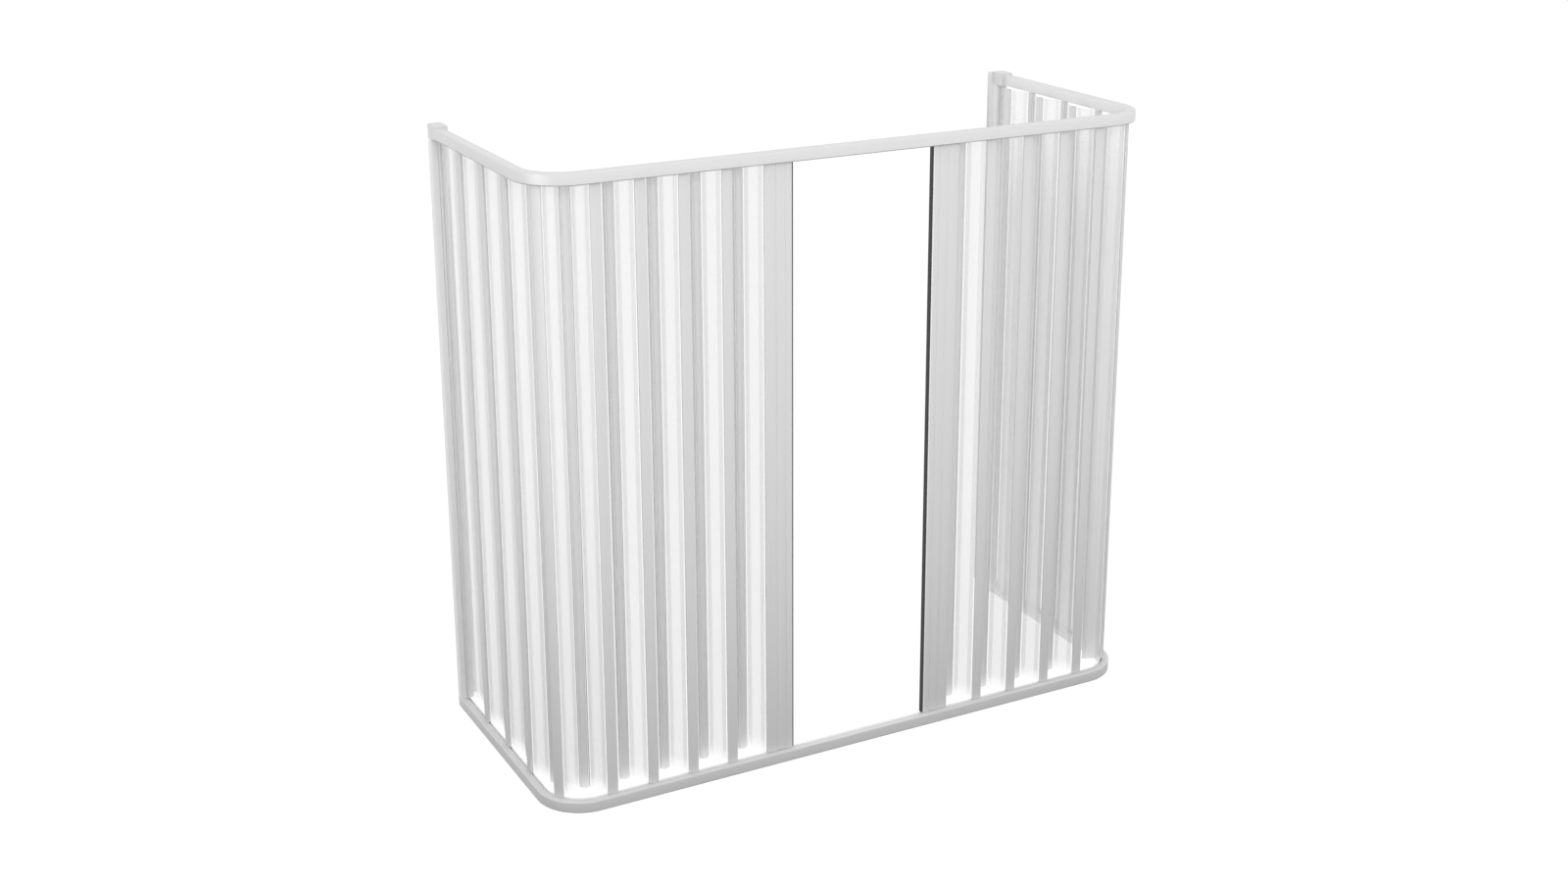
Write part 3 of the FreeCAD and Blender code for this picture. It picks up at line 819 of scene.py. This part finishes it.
def soften_part(part, width):
    """Rounds a part's sharp edges with modifiers, and leaves its mesh alone."""
    weld = part.modifiers.new("weld", "WELD")
    weld.merge_threshold = WELD_GAP
    bevel = part.modifiers.new("soft_edges", "BEVEL")
    bevel.width = width
    bevel.segments = 2
    bevel.limit_method = "ANGLE"
    bevel.angle_limit = EDGE_ANGLE
    bevel.harden_normals = True


kept_names = []
for name, part in nodes.items():
    for ending, (material, width) in KEPT.items():
        if name.endswith(ending):
            part.data.materials.clear()
            part.data.materials.append(material)
            soften_part(part, width)
            kept_names.append(name)
print(len(kept_names), "parts keep their own shape")

# %% [markdown]
# ## The studio floor
# The screen stands on a plain white ground that runs up into the walls like a bowl, so every view has the
# same pale background and no horizon. A plane would end somewhere, so a line with a quarter arc is spun once
# round the middle. The ground glows by itself but lights the plastic only in reflections, because a bright
# floor would flatten every under side.

# %% The floor
FLOOR_LEVEL = -0.0005
HUB_RADIUS = 0.01
FLOOR_RADIUS = 14.0
BOWL_RADIUS = 5.0
BOWL_HEIGHT = 9.0
BOWL_STEPS = 12
BOWL_SIDES = 64
FLOOR_GLOW = 0.94
WHITE = (1, 1, 1, 1)


def studio_bowl():
    """A flat floor with a rim that curves up."""
    bm = bmesh.new()
    hub, rim = [bm.verts.new((x, 0, FLOOR_LEVEL)) for x in (HUB_RADIUS, FLOOR_RADIUS)]
    bm.edges.new((hub, rim))
    turned = bmesh.ops.spin(
        bm, geom=[rim], cent=(FLOOR_RADIUS, 0, FLOOR_LEVEL + BOWL_RADIUS), axis=(0, 1, 0),
        angle=-math.pi / 2, steps=BOWL_STEPS,
    )
    top = bmesh.ops.extrude_vert_indiv(bm, verts=turned["geom_last"])["verts"][0]
    top.co.z = BOWL_HEIGHT
    bmesh.ops.spin(
        bm, geom=bm.verts[:] + bm.edges[:], cent=(0, 0, 0), axis=UP, angle=2 * math.pi, steps=BOWL_SIDES,
        use_merge=True,
    )
    hole = [edge for edge in bm.edges if edge.is_boundary and edge.verts[0].co.z < BOWL_RADIUS]
    bmesh.ops.holes_fill(bm, edges=hole, sides=0)
    bmesh.ops.recalc_face_normals(bm, faces=bm.faces[:])
    mesh = bpy.data.meshes.new("studio_floor")
    bm.to_mesh(mesh)
    bm.free()
    for face in mesh.polygons:
        face.use_smooth = True
    return mesh


floor = bpy.data.objects.new("studio_floor", studio_bowl())
bpy.context.scene.collection.objects.link(floor)
floor_white = plastic(
    "floor_white", grey(0.08), grey(0.10), (4, 4, 4), roughness=(0.8, 0.9), bump=0.0, specular=0.0,
)
floor_shader = floor_white.node_tree.nodes["Principled BSDF"]
floor_shader.inputs["Emission Color"].default_value = WHITE
floor_shader.inputs["Emission Strength"].default_value = FLOOR_GLOW
floor.data.materials.append(floor_white)
floor.visible_diffuse = False
floor.visible_shadow = False
print("studio floor of", len(floor.data.polygons), "faces")

# %% [markdown]
# ## A dark cloth round the foot
# In the photograph the outside of the screen darkens towards its foot. A photographer gets that with a dark
# cloth just out of sight, which takes away the light from below. The cloth here starts under the rail and
# spreads outwards on three sides. It is hidden from the camera and from reflections, so only its shade is
# seen.

# %% The shade cloth
FLAG_GROWTH = (3.2, 2.7)
FLAG_DEPTH = -0.004


def shade_flag():
    """A sheet that spreads outwards from the line of the groove."""
    bm = bmesh.new()
    stops = [0] + [side_run + bend_run * i / BEND_STEPS for i in range(BEND_STEPS + 1)]
    left = [on_groove(distance).translation for distance in stops]
    right = [Vector((-spot.x, spot.y, 0)) for spot in reversed(left)]
    inner = [bm.verts.new((spot.x, spot.y, FLAG_DEPTH)) for spot in left + right]
    edges = [bm.edges.new(pair) for pair in zip(inner, inner[1:])]
    made = bmesh.ops.extrude_edge_only(bm, edges=edges)["geom"]
    outer = only(bmesh.types.BMVert, made)
    bmesh.ops.scale(bm, vec=(*FLAG_GROWTH, 1), verts=outer, space=Matrix.Translation((0, -WALL, 0)))
    mesh = bpy.data.meshes.new("shade_flag")
    bm.to_mesh(mesh)
    bm.free()
    return mesh


flag = bpy.data.objects.new("shade_flag", shade_flag())
bpy.context.scene.collection.objects.link(flag)
flag_dark = plastic(
    "flag_dark", grey(0.02), grey(0.05), (30, 30, 30), roughness=(0.9, 1.0), bump=0.0, specular=0.0,
)
flag.data.materials.append(flag_dark)
flag.visible_camera = False
flag.visible_glossy = False
flag.visible_transmission = False
print("shade cloth of", len(flag.data.polygons), "faces")

# %% [markdown]
# ## Sky and lights
# The light in the photograph is soft and comes from all around, so an even white sky does most of the work.
# A weak lamp from the front left and above gives the faces a little direction. A second lamp only
# shows as a reflection: it puts the long highlight into the left bend of the top rail.

# %% Sky and lights
SKY_STRENGTH = 0.97

world = bpy.data.worlds.new("soft_sky")
world.use_nodes = True
sky = world.node_tree.nodes["Background"]
sky.inputs["Color"].default_value = WHITE
sky.inputs["Strength"].default_value = SKY_STRENGTH
bpy.context.scene.world = world


def soft_light(name, place, target, size, watts):
    """A square lamp that looks at a target."""
    lamp = bpy.data.lights.new(name, "AREA")
    lamp.shape = "RECTANGLE"
    lamp.size = lamp.size_y = size
    lamp.energy = watts
    holder = bpy.data.objects.new(name, lamp)
    holder.location = place
    holder.rotation_euler = (Vector(target) - Vector(place)).to_track_quat("-Z", "Y").to_euler()
    bpy.context.scene.collection.objects.link(holder)
    return holder


soft_light("front_left", place=(-1.6, -6.2, 4.2), target=(0, 0, 1.0), size=2.0, watts=80)
bend_light = soft_light(
    "bend_light", place=(-4.55, -1.5, 0.65), target=(-0.75, -0.28, 1.49), size=2.4, watts=115,
)
bend_light.visible_diffuse = False
print(len(bpy.data.lights), "lamps under a white sky")

# %% [markdown]
# ## The camera
# The camera stands where the photograph was taken from, at the front left and above. Place, turn and focal
# length were fitted to the edges of the rails, jambs and posts. The photograph was straightened, which a
# lens shift copies, but only a small shift is used because other views keep it. Many slats can stand one
# behind the other, so a line of sight may pass more see-through faces than usual.

# %% The camera
PHOTO_SIZE = (1600, 900)
PHOTO_CENTRE = (814.50, 360.0)  # where the lens looks straight ahead, in pixels
FOCAL_PIXELS = 2049.12
SENSOR_WIDTH = 36
CAMERA_PLACE = (-2.2536, -4.1689, 2.3795)
CAMERA_YAW = 28.3994
CAMERA_PITCH = 17.1742
SEE_THROUGH_FACES = 48

lens = bpy.data.cameras.new("camera")
lens.sensor_width = SENSOR_WIDTH
lens.lens = FOCAL_PIXELS / PHOTO_SIZE[0] * SENSOR_WIDTH
lens.shift_x = (PHOTO_SIZE[0] / 2 - PHOTO_CENTRE[0]) / PHOTO_SIZE[0]
lens.shift_y = (PHOTO_CENTRE[1] - PHOTO_SIZE[1] / 2) / PHOTO_SIZE[0]
camera = bpy.data.objects.new("camera", lens)
camera.location = CAMERA_PLACE
camera.rotation_euler = (math.radians(90 - CAMERA_PITCH), 0, math.radians(-CAMERA_YAW))
scene = bpy.context.scene
scene.collection.objects.link(camera)
scene.camera = camera
scene.view_settings.view_transform = "Standard"
scene.cycles.transparent_max_bounces = SEE_THROUGH_FACES
print("focal length", round(lens.lens, 1), "mm, shift", round(lens.shift_x, 3), round(lens.shift_y, 3))
